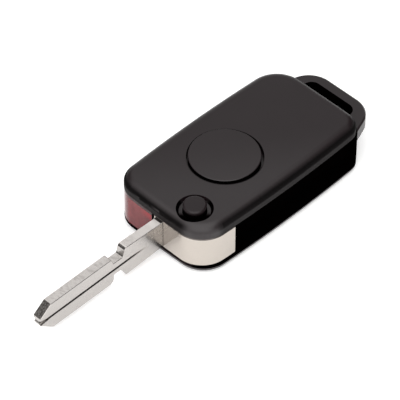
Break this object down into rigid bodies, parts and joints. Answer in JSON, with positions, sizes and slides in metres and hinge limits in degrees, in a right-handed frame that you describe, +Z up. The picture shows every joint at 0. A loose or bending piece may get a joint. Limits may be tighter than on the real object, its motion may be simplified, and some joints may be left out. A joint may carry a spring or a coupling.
{
  "type": "flip key fob shell",
  "caption": "Empty flip key fob: black plastic shell, metal swivel head with a machined blade, round command disc, round release button, red window and key-ring loop.",
  "frame": {"origin": "the flip pivot's axis on the plane the underside rests on", "axes": "+X along the body to the key-ring loop, -X the way the blade points, +Y towards the side without the channel, +Z up through the command disc"},
  "size_m": [0.1151, 0.0345, 0.0183],
  "materials": {
    "shell": "satin",
    "button": "satin",
    "inner_plastic": "matte",
    "window": "gloss",
    "nickel": "satin nickel",
    "screw": "plain",
    "spring_steel": "plain",
    "contact": "plated",
    "pad": "matte"
  },
  "bodies": {
    "case": {"base_shell": "shell", "top_cover": "shell", "infrared_window": "window", "board_carrier": "inner_plastic", "negative_contact": "contact", "positive_contact": "contact", "spring_cup": "inner_plastic", "button_pad": "pad", "front_screw": "screw", "rear_screw": "screw", "side_screw": "screw"},
    "head": {"swivel_head": "nickel", "key_blade": "nickel", "blade_pin": "screw", "flip_spring": "spring_steel"},
    "release": {"release_button": "button"},
    "command": {"command_button": "button"},
    "lid": {"battery_lid": "shell"}
  },
  "joints": [
    {"name": "blade_flip", "type": "hinge", "parent": "case", "child": "head", "pos_m": [0, 0, 0], "axis": [0, 0, 1], "range_deg": [0, 180], "stiffness_Nm_per_rad": 0.004, "springref_deg": -114.59},
    {"name": "release_press", "type": "slide", "parent": "head", "child": "release", "axis": [0, 0, -1], "range_m": [0, 0.0016], "stiffness_N_per_m": 800, "springref_m": -0.0025, "deforming": ["flip_spring"]},
    {"name": "command_press", "type": "slide", "parent": "case", "child": "command", "axis": [0, 0, -1], "range_m": [0, 0.0004], "stiffness_N_per_m": 3000, "springref_m": -0.0003, "deforming": ["button_pad"]},
    {"name": "lid_slide", "type": "slide", "parent": "case", "child": "lid", "axis": [1, 0, 0], "range_m": [0, 0.038]}
  ]
}
